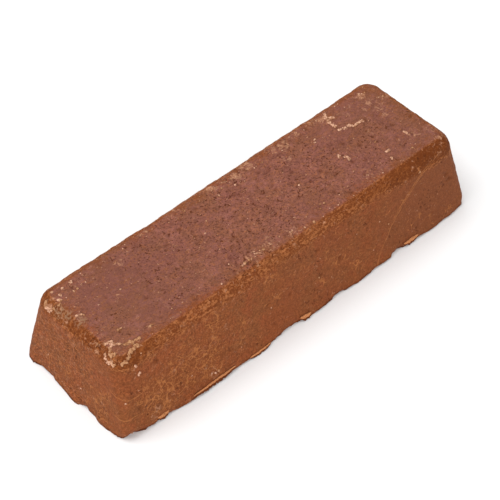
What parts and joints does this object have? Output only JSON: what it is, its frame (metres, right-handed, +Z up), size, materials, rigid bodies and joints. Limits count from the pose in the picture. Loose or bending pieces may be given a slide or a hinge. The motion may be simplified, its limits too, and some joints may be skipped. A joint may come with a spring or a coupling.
{
  "type": "polishing compound bar",
  "caption": "Cast bar of brown polishing compound with drafted sides, a rounded top, a ragged flash rim and a wide pour face that it lies on.",
  "frame": {"origin": "centre of the base, in the plane of the flat rim that the bar rests on", "axes": "+X along the bar, towards the end with the smear of scrapings across its top; +Y across it, away from the long side that carries the lifted flakes; +Z up, from the wide pour face to the narrow top"},
  "size_m": [0.16, 0.054, 0.0338],
  "materials": {
    "moulded_skin": "matte",
    "lifted_flash": "matte",
    "pale_crumbs": "matte"
  },
  "bodies": {
    "root": {"cast_bar": "moulded_skin", "rim_flake_far_curl": "lifted_flash", "rim_flake_middle_tab": "lifted_flash", "rim_flake_middle_sliver": "lifted_flash", "rim_flake_long_strip": "lifted_flash", "rim_flake_near_curl": "lifted_flash", "far_top_crumbs": "pale_crumbs", "far_top_smear": "pale_crumbs", "near_right_corner_scrapings": "pale_crumbs", "near_left_corner_crumbs": "pale_crumbs"}
  },
  "joints": []
}
